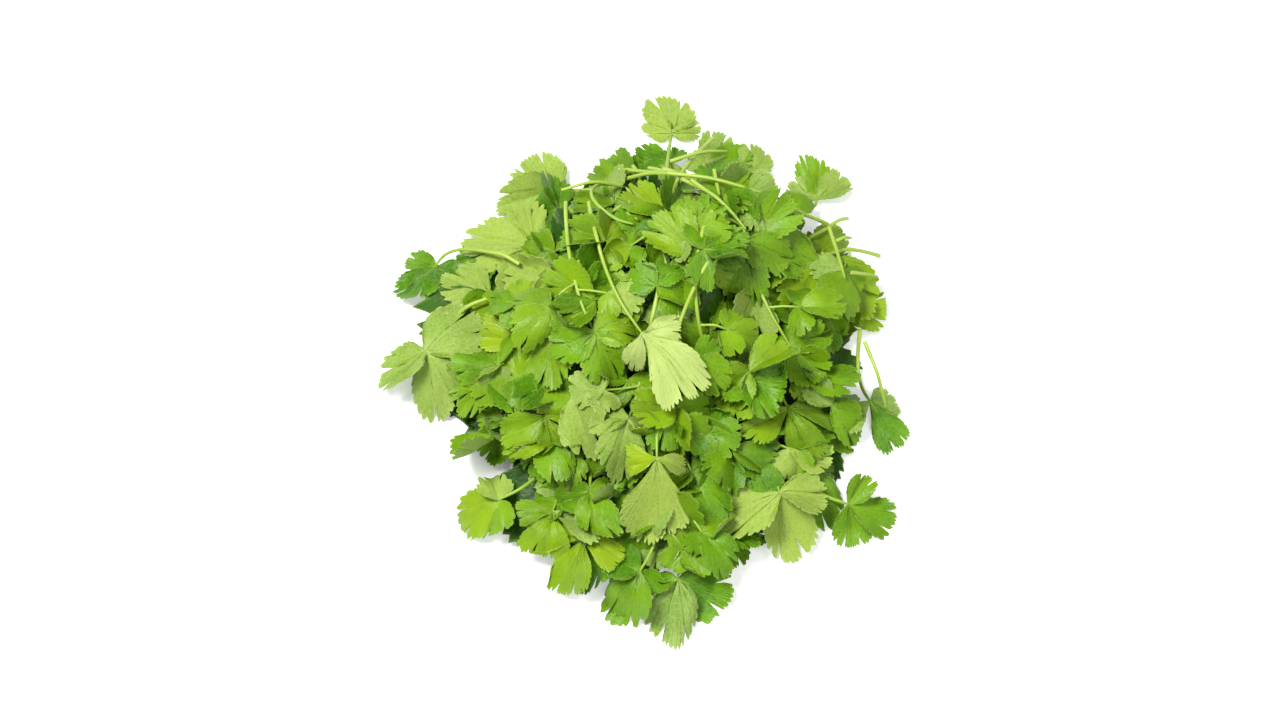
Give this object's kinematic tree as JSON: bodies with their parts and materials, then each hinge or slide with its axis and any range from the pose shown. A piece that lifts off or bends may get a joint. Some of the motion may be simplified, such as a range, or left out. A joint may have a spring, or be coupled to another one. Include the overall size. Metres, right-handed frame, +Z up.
{
  "type": "coriander bunch",
  "caption": "Loose heap of fresh cut coriander: slender leafy stems with lobed, toothed fan leaflets, lying on a flat surface.",
  "frame": {"origin": "middle of the heap's bounding box, on the surface that the heap lies on", "axes": "+Z up; +Y towards the back of the heap, where the cut stem ends gather; +X to the right as seen from the leafy front"},
  "size_m": [0.2322, 0.2538, 0.0638],
  "materials": {
    "leaf": "fresh green leaf and stem tissue, softly shining"
  },
  "bodies": {
    "root": {"stem_under_01": "leaf", "stem_under_02": "leaf", "stem_under_03": "leaf", "stem_under_04": "leaf", "stem_under_05": "leaf", "stem_under_06": "leaf", "stem_under_07": "leaf", "stem_under_08": "leaf", "stem_under_09": "leaf", "stem_under_10": "leaf", "stem_left_tip": "leaf", "stem_left_edge": "leaf", "stem_top_curled": "leaf", "stem_top_small": "leaf", "stem_top_left": "leaf", "stem_top_middle": "leaf", "stem_back_low": "leaf", "stem_right_shoulder": "leaf", "stem_bottom_shoulder": "leaf", "stem_back_left": "leaf", "stem_back_right": "leaf", "stem_right_edge": "leaf", "stem_right_low": "leaf", "stem_right_bottom": "leaf", "stem_bottom_right": "leaf", "stem_bottom_tip": "leaf", "stem_bottom_low": "leaf", "stem_bottom_side": "leaf", "stem_bottom_left": "leaf", "stem_low_left": "leaf", "stem_low_tip": "leaf", "stem_left_low": "leaf", "stem_back_middle": "leaf", "stem_right_back": "leaf", "stem_left_large": "leaf", "stem_left_middle": "leaf", "stem_left_sprig": "leaf", "stem_left_pair": "leaf", "stem_top_leaf": "leaf", "stem_long_hanging": "leaf", "stem_front_low": "leaf", "stem_front_right": "leaf", "stem_right_front": "leaf", "stem_right_large": "leaf", "stem_right_middle": "leaf", "stem_front_left": "leaf", "stem_back_pale": "leaf", "stem_back_crossing": "leaf", "stem_left_centre": "leaf", "stem_right_centre": "leaf", "stem_front_middle": "leaf", "stem_bright_left": "leaf", "stem_middle_back": "leaf", "stem_front_centre": "leaf", "stem_right_inner": "leaf", "stem_bright_middle": "leaf", "stem_front_fan": "leaf", "stem_under_crown": "leaf", "stem_crown": "leaf"}
  },
  "joints": []
}
